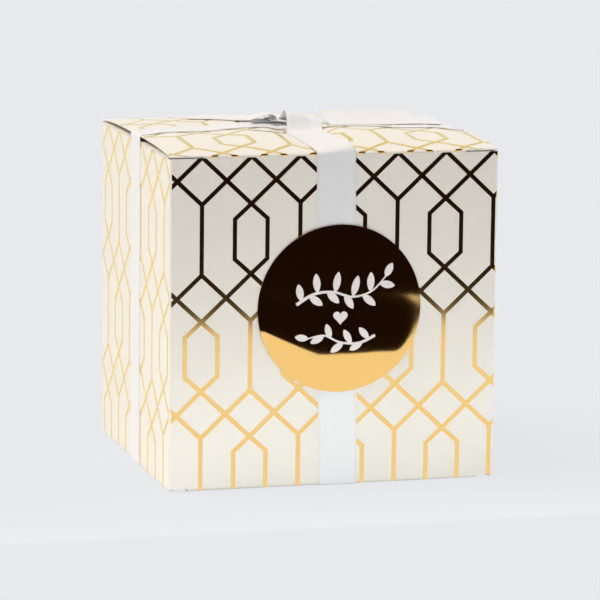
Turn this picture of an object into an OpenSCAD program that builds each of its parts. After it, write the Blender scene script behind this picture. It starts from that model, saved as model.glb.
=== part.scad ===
// Favor box: a tuck-end carton of printed card on a snap-lock base, tied crosswise with satin
// ribbon and closed with a round foil seal. Millimetres, +Z up, the front faces -Y.
// The origin is the middle of the face that the tied box stands on.

/* [Carton] */
// Outside width of the carton, left to right
box_w = 101.6; // [80:0.1:140]
// Outside depth of the carton, front to back
box_d = 92; // [76:0.1:140]
// Outside height of the closed carton, without the ribbon
box_h = 101; // [70:0.1:150]
// Thickness of the card
card = 0.45; // [0.3:0.05:0.65]
// Inside radius of the round folds
fold_r = 0.3; // [0.15:0.05:0.6]
// Gap between layers of card that lie on each other
layer_gap = 0.05; // [0.02:0.01:0.12]
// Width of the glue flap behind the front wall
glue_w = 14; // [8:0.5:20]
// How far the front wall's raw edge stops short of the left corner at the glued seam
seam_set = 0.35; // [0.1:0.05:0.7]

/* [Lid] */
// Height by which the lid bulges in front of the ribbon and behind it
lid_bulge = 2; // [0.4:0.1:3]
// How far the lid's raw side edges and front corners stay inside the walls
lid_inset = 0.15; // [0.05:0.05:0.4]
// Gap under the lid, above the dust flaps
lid_gap = 0.1; // [0.05:0.05:0.4]
// Gap between the front wall and the crease of the tuck flap
tuck_gap = 0.15; // [0.1:0.05:0.4]
// Length of the tuck flap, down behind the front wall
tuck_len = 17; // [10:0.5:24]
// Spare room that the tuck flap's lean leaves when the lid swings out
tuck_play = 0.3; // [0.15:0.05:0.8]
// Radius of the tuck flap's lower corners
tuck_corner = 10; // [3:0.5:14]
// Length of the locking slit at each end of the tuck crease
slit_len = 10; // [5:0.5:16]
// Width of the locking slits
slit_w = 0.4; // [0.2:0.1:0.8]
// Length of a dust flap, from the side wall inwards
dust_len = 34; // [20:0.5:37]
// How far a dust flap's front edge stays behind the front wall
dust_front = 3.2; // [2.5:0.1:6]
// How far a dust flap stays from the back wall at its crease
dust_back = 1.5; // [1:0.1:4]
// Radius of a dust flap's corners
dust_corner = 4; // [1:0.5:8]
// Taper of a dust flap's front edge, degrees
dust_taper = 6; // [2:0.5:12]

/* [Snap-lock base] */
// How far the base flaps lie above the lowest edge of the walls
base_recess = 0.7; // [0.5:0.05:1.5]
// Length over which a base flap rises from its crease to its level
base_ramp = 3.5; // [2.5:0.5:6]
// How far the back base flap, which holds the slot, reaches past the root of the tongue
base_overlap = 12; // [8:0.5:18]
// Length of the front base flap, without its tongue
base_front_len = 42; // [36:0.5:46]
// Length of each side base flap
base_side_len = 34; // [20:0.5:36]
// How far the front and back base flaps stay from the side walls
base_end_gap = 5.5; // [5:0.5:9]
// How far the side base flaps stay from the front wall
base_front_gap = 1.5; // [1:0.1:3]
// How far the side base flaps stay from the back wall, clear of the back flap's rise
base_back_gap = 5.5; // [5:0.5:9]
// Width of the tongue on the front base flap
tongue_w = 28; // [16:0.5:30]
// Length of the tongue
tongue_len = 14; // [11:0.5:18]
// Length over which the tongue climbs through the slot
tongue_ramp = 6; // [4:0.5:8]
// Free room round the tongue in the slot
slot_room = 1; // [0.6:0.1:2]
// Radius of the corners of the base flaps
base_corner = 5; // [2:0.5:8]

/* [Ribbon] */
// Width of the ribbon
ribbon_w = 12; // [8:0.5:16]
// Thickness of the ribbon
ribbon_t = 0.3; // [0.2:0.05:0.5]
// Place of the band that runs front to back, to the right of the middle
band_x = 0.6; // [-4:0.1:4]
// Place of the band that runs left to right, behind the middle
band_y = -1; // [-4:0.1:4]
// Gap between the ribbon and the lid
ribbon_gap = 0.06; // [0.03:0.01:0.15]
// How far the lid's ribbon reaches down the walls to its parting
wrap_len = 2.2; // [1.5:0.1:5]
// Gap at the ribbon's partings
part_gap = 0.05; // [0.03:0.01:0.15]
// How far the ribbon stops short of the lid's rear crease
hinge_gap = 0.5; // [0.45:0.05:1]
// Length over which the lower ribbon layer is humped where it is crossed
cross_ramp = 3; // [2:0.5:6]

/* [Knot and tails] */
// Height to which the knot lifts the bands above the lid
knot_lift = 2.4; // [1.2:0.1:3.5]
// Width of the knot, left to right
knot_w = 8.5; // [6:0.5:11]
// Depth of the knot, front to back
knot_d = 8; // [6:0.5:11]
// Height of the knot above the bands that it ties
knot_h = 3.8; // [2.5:0.1:6]
// Outside diameter of the small loop beside the knot
loop_d = 3.6; // [2.4:0.1:5]
// Length of the small loop
loop_len = 8; // [5:0.5:11]
// Length of the left tail, from the loop's corner on
tail_left_len = 30; // [20:0.5:34]
// Direction of the left tail, degrees from the right
tail_left_turn = 132; // [120:1:145]
// Length of the right tail
tail_right_len = 42.5; // [25:0.5:43.5]
// Direction of the right tail, degrees from the right
tail_right_turn = 3; // [0:0.5:8]
// Tilt of the right tail, which stands on its front edge, degrees
tail_right_tilt = 23; // [10:0.5:32]

/* [Seal] */
// Diameter of the round foil seal
seal_d = 50.8; // [30:0.1:64]
// Thickness of the seal
seal_t = 0.12; // [0.08:0.01:0.25]
// Place of the seal, to the right of the middle
seal_x = 1.4; // [-6:0.1:6]
// Height of the seal's middle above the carton's lowest edge
seal_up = 54; // [40:0.5:62]
// Length over which the seal comes down from the ribbon to the wall
seal_ramp = 3; // [1.5:0.5:6]

/* [Hidden] */
CARD_COLOR = "#FBF6EC";
RIBBON_COLOR = "#F8F4F6";
FOIL_COLOR = "#C99B45";
// Facets of small round shapes
ROUND_FN = 48;
// One overrun for every cut
over = 1;

// Radius of the outside of a fold
fold_out = fold_r + card;
// Height of the carton's lowest edge and of the lid's face at its creases
stand_z = ribbon_t;
top_z = stand_z + box_h;
half_w = box_w / 2;
half_d = box_d / 2;
// Heights of the dust flaps' upper face and of the four walls' upper edges
dust_z = top_z - card - lid_gap;
front_top = top_z - fold_out;
back_top = top_z - card - layer_gap;
side_top = dust_z - card - layer_gap;
wall_foot = stand_z + fold_out;
// Place of the tuck crease: the outside of the fold, and the inner edge that the flap turns on
crease_y = -half_d + card + tuck_gap;
tuck_axis_y = crease_y + card;
tuck_axis_z = top_z - fold_out;
// The lid swings about its rear crease, so the flap needs this lean to pass the front wall
tuck_drop = tuck_len + fold_out;
tuck_swing = tuck_drop * tuck_drop / (2 * (box_d - card));
tuck_lean = atan((tuck_swing + tuck_play) / tuck_len);
tuck_side = 1;
tuck_half = half_w - card - tuck_side;
// The lid bulges between its creases and the stretch that the ribbon holds flat
bulge_steps = 20;
flat_room = 0.5;
bulge_front = crease_y + fold_out;
flat_front = band_y - ribbon_w / 2 - flat_room;
flat_back = band_y + ribbon_w / 2 + flat_room;
// Heights of the underside of each layer of the base, from the lowest one up
layer = card + layer_gap;
base_z = stand_z + base_recess;
side_flap_z = base_z + layer;
back_flap_z = side_flap_z + layer;
tongue_z = back_flap_z + layer;
floor_z = tongue_z + card;
base_back_len = box_d - base_front_len + base_overlap;
// Share of its length over which a base flap's sides taper, and by how much they do
taper_share = 0.16;
// The ribbon's middle height on the lid, and where the lid's bands meet the knot
ribbon_mid = ribbon_t / 2;
lid_ribbon_z = top_z + ribbon_gap + ribbon_mid;
knot_reach_x = knot_w / 2 + part_gap;
knot_reach_y = knot_d / 2 + part_gap;
gather_w = min(knot_w, knot_d);
knot_z = lid_ribbon_z + knot_lift;
part_z = top_z - wrap_len;
// How steeply the bands climb to the knot, and the pieces of a curved ribbon
lift_power = 1.5;
band_steps = 14;
bend_steps = 4;
tail_steps = 16;
// Height of the tails above the lid where they lie on it
tail_clear = 0.45;
tail_arch = 0.8;
// How late the right tail lies down towards its end
tail_settle_power = 5;
// Room between the glue flap and the tuck flap's edge, and the taper of its ends in degrees
glue_room = 2;
glue_taper = 15;
// Radius of the knot's rounding, its facets, and the share of its width at which its peak stands
knot_round = 1;
KNOT_FN = 20;
peak_share = 0.16;
// Gap between the small loop and the knot, and how far the loop reaches behind the knot
loop_seat = 0.1;
loop_back = 2;
// Place of each tail's first point, away from the knot's middle: the left one starts at the
// loop's far corner, the right one beside the back band and behind the right band
tail_left_way = [cos(tail_left_turn), sin(tail_left_turn)];
tail_left_from = (knot_w / 2 + loop_seat + loop_d) * -tail_left_way[0]
    + (knot_d / 2 + loop_back) * tail_left_way[1] + part_gap;
tail_right_off = [
    ribbon_w / 2 * (1 + sin(tail_right_turn)) + part_gap,
    ribbon_w / 2 * (1 + cos(tail_right_tilt)) + part_gap
];

// Direction of a vector
function unit(v) = v / norm(v);

// Angle brought between -180 and 180 degrees
function wrapped(a) = a > 180 ? a - 360 : (a < -180 ? a + 360 : a);

// Points that round the corner p between the points a and b with radius r
function corner_arc(a, p, b, r, n) =
    let(
        u = unit(a - p),
        v = unit(b - p),
        half = acos(u * v) / 2,
        c = p + unit(u + v) * r / sin(half),
        s = p + u * r / tan(half) - c,
        e = p + v * r / tan(half) - c,
        from = atan2(s[1], s[0]),
        turn = wrapped(atan2(e[1], e[0]) - from)
    )
    [for (i = [0 : n]) c + r * [cos(from + turn * i / n), sin(from + turn * i / n)]];

// Outline with each corner rounded by its own radius, or kept sharp where that is 0
function rounded(points, radii, n = 6) =
    let(k = len(points))
    [for (i = [0 : k - 1])
        each (radii[i] > 0
            ? corner_arc(points[(i + k - 1) % k], points[i], points[(i + 1) % k], radii[i], n)
            : [points[i]])];

// Height of an arc that bulges by lid_bulge over the chord from a to b, at y
function arc_radius(a, b) = (pow((b - a) / 2, 2) + pow(lid_bulge, 2)) / (2 * lid_bulge);
function arc_height(y, a, b) =
    y <= a || y >= b ? 0
    : sqrt(pow(arc_radius(a, b), 2) - pow(y - (a + b) / 2, 2)) - arc_radius(a, b) + lid_bulge;

// Height of the lid's bulge above its creases, at y
function bulge_at(y) =
    y < band_y ? arc_height(y, bulge_front, flat_front) : arc_height(y, flat_back, half_d);

// Height that the knot gives a band, at a share of the way in from the lid's edge
function lift_at(share) = knot_lift * pow(max(share, 0), lift_power);

// Builds its children against the front wall and turns them to the wall wanted:
// their outer face is y = 0, inwards is +y and they are centred on x = 0
module on_wall(turn, half) {
    rotate([0, 0, turn])
        translate([0, -half, 0])
            children();
}

// Extrudes an outline drawn in y and z along x
module along_x(from, length) {
    translate([from, 0, 0])
        rotate([90, 0, 90])
            linear_extrude(length)
                children();
}

// Quarter of a fold's ring: it starts downwards from the middle and ends to the right of it
module fold_2d(inner, outer) {
    intersection() {
        difference() {
            circle(r = outer, $fn = ROUND_FN);
            circle(r = inner, $fn = ROUND_FN);
        }
        translate([0, -outer])
            square(outer);
    }
}

// Upright wall with the fold at its right-hand end, seen from above
module wall(length, start, stop, top) {
    translate([0, 0, wall_foot])
        linear_extrude(top - wall_foot) {
            translate([start - length / 2, 0])
                square([length - start - stop - fold_out, card]);
            translate([length / 2 - stop - fold_out, fold_out])
                fold_2d(fold_r, fold_out);
        }
}

module front_wall() {
    color(CARD_COLOR)
        on_wall(0, half_d)
            wall(box_w, seam_set, 0, front_top);
}

module right_wall() {
    color(CARD_COLOR)
        on_wall(90, half_w)
            wall(box_d, fold_out, 0, side_top);
}

module back_wall() {
    color(CARD_COLOR)
        on_wall(180, half_d)
            wall(box_w, fold_out, 0, back_top);
}

// The left wall's fold steps in by the card's thickness, behind the front wall
module left_wall() {
    color(CARD_COLOR)
        on_wall(-90, half_w)
            wall(box_d, fold_out, card, side_top);
}

// Tapered flap glued behind the front wall, from above the base to below the tuck flap
module glue_flap() {
    low = wall_foot + floor_z;
    high = front_top - tuck_len - glue_room;
    slope = glue_w * tan(glue_taper);
    color(CARD_COLOR)
        translate([-half_w + fold_out, -half_d + 2 * card, 0])
            rotate([90, 0, 0])
                linear_extrude(card)
                    polygon([
                        [0, low],
                        [glue_w, low + slope],
                        [glue_w, high - slope],
                        [0, high]
                    ]);
}

// Side view of a base flap: the fold under the wall, the rise and the flat stretch
module base_profile(level, length) {
    translate([fold_out, wall_foot])
        rotate(-90)
            fold_2d(fold_r, fold_out);
    polygon([
        [fold_out, stand_z],
        [fold_out + base_ramp, level],
        [length, level],
        [length, level + card],
        [fold_out + base_ramp, level + card],
        [fold_out, stand_z + card]
    ]);
}

// Base flap of a wall: its side view cut to an outline with tapered sides
module base_flap(wall_w, left_gap, right_gap, level, length) {
    left = left_gap - wall_w / 2;
    right = wall_w / 2 - right_gap;
    taper = taper_share * length;
    outline = [
        [left, -over],
        [right, -over],
        [right, base_ramp],
        [right - taper, length],
        [left + taper, length],
        [left, base_ramp]
    ];
    intersection() {
        along_x(-wall_w / 2, wall_w)
            base_profile(level, length);
        linear_extrude(floor_z + over)
            polygon(rounded(outline, [0, 0, 0, base_corner, base_corner, 0]));
    }
}

// Top flap of the base, with the slot that the tongue climbs through
module base_flap_back() {
    slot_y = box_d - base_front_len - tongue_ramp - slot_room;
    color(CARD_COLOR)
        on_wall(180, half_d)
            difference() {
                base_flap(box_w, base_end_gap, base_end_gap, back_flap_z, base_back_len);
                translate([-tongue_w / 2 - slot_room, slot_y, back_flap_z - over])
                    cube([tongue_w + 2 * slot_room, tongue_ramp + 2 * slot_room, card + 2 * over]);
            }
}

module base_flap_left() {
    color(CARD_COLOR)
        on_wall(-90, half_w)
            base_flap(box_d, base_back_gap, base_front_gap, side_flap_z, base_side_len);
}

module base_flap_right() {
    color(CARD_COLOR)
        on_wall(90, half_w)
            base_flap(box_d, base_front_gap, base_back_gap, side_flap_z, base_side_len);
}

// Lowest flap of the base, with the tongue that climbs through the slot onto the back flap
module base_flap_front() {
    root = base_front_len;
    crest = root + tongue_ramp;
    color(CARD_COLOR)
        on_wall(0, half_d) {
            base_flap(box_w, base_end_gap, base_end_gap, base_z, base_front_len);
            along_x(-tongue_w / 2, tongue_w)
                polygon([
                    [root - over, base_z],
                    [root, base_z],
                    [crest, tongue_z],
                    [crest + tongue_len, tongue_z],
                    [crest + tongue_len, floor_z],
                    [crest, floor_z],
                    [root, base_z + card],
                    [root - over, base_z + card]
                ]);
        }
}

// Side view of the lid's card from crease to crease: a bulge on each side of the flat stretch
module lid_card_2d() {
    places = [
        for (i = [0 : bulge_steps]) bulge_front + (flat_front - bulge_front) * i / bulge_steps,
        for (i = [0 : bulge_steps]) flat_back + (half_d - flat_back) * i / bulge_steps
    ];
    last = len(places) - 1;
    polygon([
        for (y = places) [y, top_z + bulge_at(y)],
        for (i = [0 : last])
            let(y = places[last - i])
            [y, top_z - card + bulge_at(y)]
    ]);
}

// Lid: two bulges with the ribbon's flat stretch between them, a round tuck crease in front,
// and flat corners beyond the locking slits
module lid_panel() {
    width = box_w - 2 * lid_inset;
    crease_half = width / 2 - slit_len;
    color(CARD_COLOR) {
        along_x(-width / 2, width)
            lid_card_2d();
        along_x(-crease_half, 2 * crease_half)
            translate([bulge_front, front_top])
                rotate(180)
                    fold_2d(fold_r, fold_out);
        for (side = [-1, 1])
            along_x(side * (width + 2 * crease_half) / 4 - slit_len / 2, slit_len)
                translate([-half_d + lid_inset, top_z - card])
                    square([bulge_front + half_d - lid_inset, card]);
    }
}

// Tuck flap: round lower corners and shoulders that the slits cut free of the lid
module tuck_flap() {
    crease_half = half_w - lid_inset - slit_len;
    outline = [
        [-tuck_half, -slit_w],
        [-tuck_half, -tuck_len],
        [tuck_half, -tuck_len],
        [tuck_half, -slit_w],
        [crease_half, -slit_w],
        [crease_half, 0],
        [-crease_half, 0],
        [-crease_half, -slit_w]
    ];
    color(CARD_COLOR)
        translate([0, tuck_axis_y, tuck_axis_z])
            rotate([tuck_lean, 0, 0])
                rotate([90, 0, 0])
                    linear_extrude(card)
                        polygon(rounded(outline, [0, tuck_corner, tuck_corner, 0, 0, 0, 0, 0]));
}

// Dust flap of a side wall: cut at 45 degrees towards the lid's rear crease, so that it can
// rise with the lid, and slightly tapered in front
module dust_flap() {
    front = half_d - dust_front;
    back = half_d - dust_back;
    outline = [
        [front, 0],
        [front - dust_len * tan(dust_taper), dust_len],
        [-back + dust_len, dust_len],
        [-back, 0]
    ];
    translate([0, 0, dust_z - card])
        linear_extrude(card)
            polygon(rounded(outline, [0, dust_corner, dust_corner, 0]));
}

module dust_flap_left() {
    color(CARD_COLOR)
        on_wall(-90, half_w)
            dust_flap();
}

module dust_flap_right() {
    color(CARD_COLOR)
        mirror([1, 0, 0])
            on_wall(-90, half_w)
                dust_flap();
}

// Band of ribbon that lies flat on a wall, from the base's fold up
module wall_band(place, top) {
    translate([place - ribbon_w / 2, -ribbon_t, wall_foot])
        cube([ribbon_w, ribbon_t, top - wall_foot]);
}

module ribbon_front() {
    color(RIBBON_COLOR)
        on_wall(0, half_d)
            wall_band(band_x, part_z - part_gap);
}

module ribbon_back() {
    color(RIBBON_COLOR)
        on_wall(180, half_d)
            wall_band(-band_x, top_z - hinge_gap);
}

module ribbon_left() {
    color(RIBBON_COLOR)
        on_wall(-90, half_w)
            wall_band(-band_y, part_z - part_gap);
}

module ribbon_right() {
    color(RIBBON_COLOR)
        on_wall(90, half_w)
            wall_band(band_y, part_z - part_gap);
}

// Side view of a band under the box: it wraps both lower edges
module under_bends(half) {
    for (side = [0, 1])
        mirror([side, 0])
            translate([half - fold_out, wall_foot])
                fold_2d(fold_out, fold_out + ribbon_t);
}

module ribbon_under_across() {
    flat = half_w - fold_out;
    color(RIBBON_COLOR)
        translate([0, band_y + ribbon_w / 2, 0])
            rotate([90, 0, 0])
                linear_extrude(ribbon_w) {
                    under_bends(half_w);
                    translate([-flat, 0])
                        square([2 * flat, ribbon_t]);
                }
}

// This band passes over the other one, in the recess of the base
module ribbon_under_front_to_back() {
    flat = half_d - fold_out;
    near = ribbon_w / 2 + part_gap;
    far = near + cross_ramp;
    rise = ribbon_t + part_gap;
    color(RIBBON_COLOR)
        along_x(band_x - ribbon_w / 2, ribbon_w) {
            under_bends(half_d);
            polygon([
                [-flat, 0],
                [band_y - far, 0],
                [band_y - near, rise],
                [band_y + near, rise],
                [band_y + far, 0],
                [flat, 0],
                [flat, ribbon_t],
                [band_y + far, ribbon_t],
                [band_y + near, rise + ribbon_t],
                [band_y - near, rise + ribbon_t],
                [band_y - far, ribbon_t],
                [-flat, ribbon_t]
            ]);
        }
}

// Ribbon swept along a path: a thin strip whose width runs along its across vectors
module ribbon(path, across, widths) {
    last = len(path) - 1;
    rings = [for (i = [0 : last])
        let(
            way = unit(path[min(i + 1, last)] - path[max(i - 1, 0)]),
            side = across[i] * widths[i] / 2,
            up = unit(cross(way, across[i])) * ribbon_mid
        )
        [path[i] - side - up, path[i] + side - up, path[i] + side + up, path[i] - side + up]];
    points = [for (ring = rings) each ring];
    sides = [for (i = [0 : last - 1], k = [0 : 3])
        let(
            a = 4 * i + k,
            b = 4 * i + (k + 1) % 4
        )
        each [[a, b, b + 4], [a, b + 4, a + 4]]];
    end = 4 * last;
    caps = [[0, 3, 2], [0, 2, 1], [end, end + 1, end + 2], [end, end + 2, end + 3]];
    polyhedron(points = points, faces = concat(sides, caps));
}

// Side view of a lid band, as [distance from the middle, height]: it comes up the wall, bends
// over an edge rounded by round_r and climbs to the knot; rise gives the lid's own height
function band_path(edge, stop, rise, round_r, wrapped_over) =
    let(
        bend = round_r + ribbon_gap + ribbon_mid,
        inner = edge - round_r,
        start = wrapped_over ? inner : edge - hinge_gap
    )
    concat(
        wrapped_over ? [[inner + bend, part_z]] : [],
        wrapped_over
            ? [for (i = [0 : bend_steps - 1])
                let(a = 90 * i / bend_steps)
                [inner + bend * cos(a), top_z - round_r + bend * sin(a)]]
            : [],
        [for (i = [0 : band_steps])
            let(
                share = i / band_steps,
                d = start + (stop - start) * share
            )
            [d, lid_ribbon_z + max(rise(d), lift_at(share))]]
    );

// Width of a band along its path: full at the edge and gathered at the knot
function band_widths(count) =
    [for (i = [0 : count - 1])
        let(share = max(0, i - (count - 1 - band_steps)) / band_steps)
        ribbon_w - (ribbon_w - gather_w) * pow(share, 3)];

module lid_band(path2, place, turn, across) {
    path = [for (p = path2) place + turn * p[0] + [0, 0, p[1]]];
    ribbon(path, [for (p = path) across], band_widths(len(path)));
}

module ribbon_lid_front() {
    color(RIBBON_COLOR)
        lid_band(
            band_path(half_d, knot_reach_y - band_y, function(d) bulge_at(-d), fold_out, true),
            [band_x, 0, 0], [0, -1, 0], [1, 0, 0]
        );
}

module ribbon_lid_back() {
    color(RIBBON_COLOR)
        lid_band(
            band_path(half_d, knot_reach_y + band_y, function(d) bulge_at(d), 0, false),
            [band_x, 0, 0], [0, 1, 0], [-1, 0, 0]
        );
}

module ribbon_lid_left() {
    color(RIBBON_COLOR)
        lid_band(
            band_path(half_w, knot_reach_x - band_x, function(d) 0, lid_inset, true),
            [0, band_y, 0], [-1, 0, 0], [0, -1, 0]
        );
}

module ribbon_lid_right() {
    color(RIBBON_COLOR)
        lid_band(
            band_path(half_w, knot_reach_x + band_x, function(d) 0, lid_inset, true),
            [0, band_y, 0], [1, 0, 0], [0, 1, 0]
        );
}

// Knot: the gathered ribbon, high on the left where its end stands up and lower on the right
module ribbon_knot() {
    low = knot_z - ribbon_mid - ribbon_t;
    r = knot_round;
    peak = knot_z + knot_h - r;
    color(RIBBON_COLOR)
        translate([band_x, band_y, 0])
            hull() {
                for (x = [-1, 1], y = [-1, 1])
                    translate([x * (knot_w / 2 - r), y * (knot_d / 2 - r), low + r])
                        sphere(r = r, $fn = KNOT_FN);
                for (y = [-1, 1])
                    translate([-knot_w * peak_share, y * (knot_d / 2 - 2 * r), peak])
                        sphere(r = r, $fn = KNOT_FN);
                translate([knot_w / 2 - 2 * r, 0, knot_z + knot_h / 2])
                    sphere(r = r, $fn = KNOT_FN);
            }
}

// Small loop of ribbon that lies against the knot's left side
module ribbon_knot_loop() {
    r = loop_d / 2;
    color(RIBBON_COLOR)
        translate([band_x - knot_w / 2 - r - loop_seat, band_y + knot_d / 2 + loop_back, 0])
            rotate([90, 0, 0])
                linear_extrude(loop_len)
                    translate([0, knot_z + ribbon_mid + part_gap + r])
                        difference() {
                            circle(r = r, $fn = ROUND_FN);
                            circle(r = r - ribbon_t, $fn = ROUND_FN);
                        }
}

// Left tail: it leaves the knot above the bands and comes to rest on the lid
module ribbon_tail_left() {
    way = tail_left_way;
    start = [band_x, band_y] + way * tail_left_from;
    path = [for (i = [0 : tail_steps])
        let(
            share = i / tail_steps,
            p = start + way * tail_left_len * share,
            down = knot_lift + knot_h / 3
        )
        [
            p[0], p[1],
            lid_ribbon_z + tail_clear + bulge_at(p[1])
                + down * pow(1 - share, lift_power) + tail_arch * sin(180 * share)
        ]];
    color(RIBBON_COLOR)
        ribbon(path, [for (p = path) [way[1], -way[0], 0]], [for (p = path) ribbon_w]);
}

// Right tail: it stands tilted on its front edge and lies down towards its end
module ribbon_tail_right() {
    way = [cos(tail_right_turn), sin(tail_right_turn)];
    start = [band_x, band_y] + tail_right_off;
    tilts = [for (i = [0 : tail_steps])
        tail_right_tilt * (1 - pow(i / tail_steps, tail_settle_power))];
    path = [for (i = [0 : tail_steps])
        let(p = start + way * tail_right_len * i / tail_steps)
        [
            p[0], p[1],
            lid_ribbon_z + tail_clear + lid_bulge / 2 + sin(tilts[i]) * ribbon_w / 2
        ]];
    across = [for (a = tilts) [-way[1] * cos(a), way[0] * cos(a), sin(a)]];
    color(RIBBON_COLOR)
        ribbon(path, across, [for (p = path) ribbon_w]);
}

// Round seal: flat on the ribbon in the middle, and brought down to the wall on both sides
module foil_seal() {
    out = half_d + ribbon_t;
    near = ribbon_w / 2;
    far = near + seal_ramp;
    color(FOIL_COLOR)
        intersection() {
            linear_extrude(stand_z + seal_up + seal_d)
                polygon([
                    [seal_x - seal_d, -half_d],
                    [band_x - far, -half_d],
                    [band_x - near, -out],
                    [band_x + near, -out],
                    [band_x + far, -half_d],
                    [seal_x + seal_d, -half_d],
                    [seal_x + seal_d, -half_d - seal_t],
                    [band_x + far, -half_d - seal_t],
                    [band_x + near, -out - seal_t],
                    [band_x - near, -out - seal_t],
                    [band_x - far, -half_d - seal_t],
                    [seal_x - seal_d, -half_d - seal_t]
                ]);
            translate([seal_x, -half_d + over, stand_z + seal_up])
                rotate([90, 0, 0])
                    cylinder(d = seal_d, h = 3 * over, $fn = 2 * ROUND_FN);
        }
}

front_wall();
back_wall();
left_wall();
right_wall();
glue_flap();
base_flap_back();
base_flap_left();
base_flap_right();
base_flap_front();
lid_panel();
tuck_flap();
dust_flap_left();
dust_flap_right();
ribbon_front();
ribbon_back();
ribbon_left();
ribbon_right();
ribbon_under_across();
ribbon_under_front_to_back();
ribbon_lid_front();
ribbon_lid_back();
ribbon_lid_left();
ribbon_lid_right();
ribbon_knot();
ribbon_knot_loop();
ribbon_tail_left();
ribbon_tail_right();
foil_seal();
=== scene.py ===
import math

import bmesh
import bpy
from mathutils import Matrix, Vector


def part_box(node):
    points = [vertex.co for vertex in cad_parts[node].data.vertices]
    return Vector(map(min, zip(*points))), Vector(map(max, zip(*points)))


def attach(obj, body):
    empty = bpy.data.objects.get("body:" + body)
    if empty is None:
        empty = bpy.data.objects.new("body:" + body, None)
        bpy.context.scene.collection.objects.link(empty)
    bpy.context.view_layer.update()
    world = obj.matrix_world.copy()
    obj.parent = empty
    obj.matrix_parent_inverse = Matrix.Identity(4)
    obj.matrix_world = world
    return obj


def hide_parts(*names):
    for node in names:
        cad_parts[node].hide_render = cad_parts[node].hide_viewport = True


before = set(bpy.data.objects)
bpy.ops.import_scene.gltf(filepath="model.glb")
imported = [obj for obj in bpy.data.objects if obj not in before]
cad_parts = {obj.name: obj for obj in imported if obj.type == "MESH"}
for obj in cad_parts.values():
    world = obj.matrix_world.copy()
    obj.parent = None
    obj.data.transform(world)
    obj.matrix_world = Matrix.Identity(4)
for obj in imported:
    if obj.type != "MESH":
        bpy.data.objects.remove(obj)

bl_info = {
    "name": "Favor Box",
    "version": (1, 0, 0),
    "blender": (4, 5, 0),
    "location": "3D View > Sidebar > Favor Box",
    "description": "Dresses a tuck-end favor box with foil print, satin ribbon and a foil seal",
    "category": "Object",
}

# All shapes are worked out in millimetres and brought to metres once, at the end of each piece.
MM = 0.001
# Outside of the carton as the solids have it, and the radius of its folds
HALF_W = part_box("right_wall")[1][0] / MM
HALF_D = -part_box("front_wall")[0][1] / MM
WIDTH, DEPTH = 2 * HALF_W, 2 * HALF_D
FOLD_R = 0.75
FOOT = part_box("front_wall")[0][2] / MM
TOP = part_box("front_wall")[1][2] / MM + FOLD_R
SIDE_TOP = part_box("left_wall")[1][2] / MM
# Card of the lid, half its width, and where its front edge folds down between the slits
CARD = 0.45
LID_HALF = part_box("lid_panel")[1][0] / MM
SLIT_LEN = 10
CREASE_HALF = LID_HALF - SLIT_LEN
CREASE_Y = -45.4
# Ways over the lid from its rear crease: to where the front folds down, to the end of that fold,
# and to the raw edge of the flat front corners
FOLD_RUN = HALF_D - CREASE_Y - FOLD_R
FOLD_ARC = FOLD_R * math.pi / 2
LID_RUN = FOLD_RUN + FOLD_ARC
CORNER_RUN = DEPTH - 0.15
# Squares into which the lid is divided, and its foil along the same lines
LID_ACROSS, LID_ALONG = 84, 76
# Shape of the lid's dome: how full it is from front to back, its height half way out as a share
# of its crown, the share by which its right half is drawn down, the depths of the hollow under
# the cross band on the left and of the bed under the ribbon that runs to the back
DOME_POWER, SHOULDER_SHARE, DRAWN_SHARE, HOLLOW, BED = 3.4, 0.77, 0.5, 0.5, 0.9
# Middle lines of the two ribbon bands, and the height at which the ribbon parts at the lid
BAND_X, BAND_Y = 0.6, -1.0
PART_Z = 99.1
# How far ribbon stays above the lid, for one layer and for the tails that lie on others
ONE_LAYER, MORE_LAYERS = 0.18, 0.3
# Middle of the seal on the front wall
SEAL_X, SEAL_Z = 1.4, 54.3
# Steps into which a quarter turn is divided
TURN_STEPS = 6
# Edges that turn by more than this stay crisp, and points nearer than this are one
SHARP = 0.7
SAME = 0.001
# Camera fitted to the photo: place in metres, turns in degrees, lens and sensor in millimetres
CAMERA_PLACE = (-0.30305, -1.09043, 0.24422)
CAMERA_TURNS = (15.630, 9.784, 0.636)
LENS, SENSOR = 221.05, 36
# Printed trellis: distance between columns, height of a diamond, distance between diamond rows,
# half the width of a hexagon, height of its slanted sides, and thickness of the foil
COLUMN, DIAMOND, ROW, HEXAGON_HALF, LEG, FOIL = 15.1, 14.15, 35.2, 5.0, 4.5, 0.03


def linear(code):
    """Turns an sRGB hex colour into the linear values that Blender works with."""
    parts = [int(code[i : i + 2], 16) / 255 for i in (1, 3, 5)]
    return [p / 12.92 if p <= 0.04045 else ((p + 0.055) / 1.055) ** 2.4 for p in parts]


def rgba(color, share=1.0):
    return (*(c * share for c in color), 1.0)


# Sizes and colours that a user would change


def color_setting(name, description, code):
    return bpy.props.FloatVectorProperty(
        name=name, description=description, subtype="COLOR", size=3, min=0, max=1,
        default=linear(code))


def length_setting(name, description, default, low, high):
    """Setting of a length, whose values are given in millimetres."""
    return bpy.props.FloatProperty(
        name=name, description=description, unit="LENGTH",
        default=default * MM, min=low * MM, max=high * MM)


def level_setting(name, description, default, high):
    return bpy.props.FloatProperty(
        name=name, description=description, default=default, min=0, max=high)


class FavorBoxCardSettings(bpy.types.PropertyGroup):
    print_color: color_setting("Coated side", "Colour of the board's coated outside", "#F6F3EC")
    raw_color: color_setting("Uncoated side", "Colour of the flaps' uncoated board", "#EFEADF")
    pillow: length_setting(
        "Lid crown", "Height to which the lid swells between the ribbon bands", 3.0, 0, 4.0)
    edge_rise: length_setting(
        "Edge rise", "How far the lid's raw side edge springs up at the ribbon", 1.4, 0, 2.0)


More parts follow.
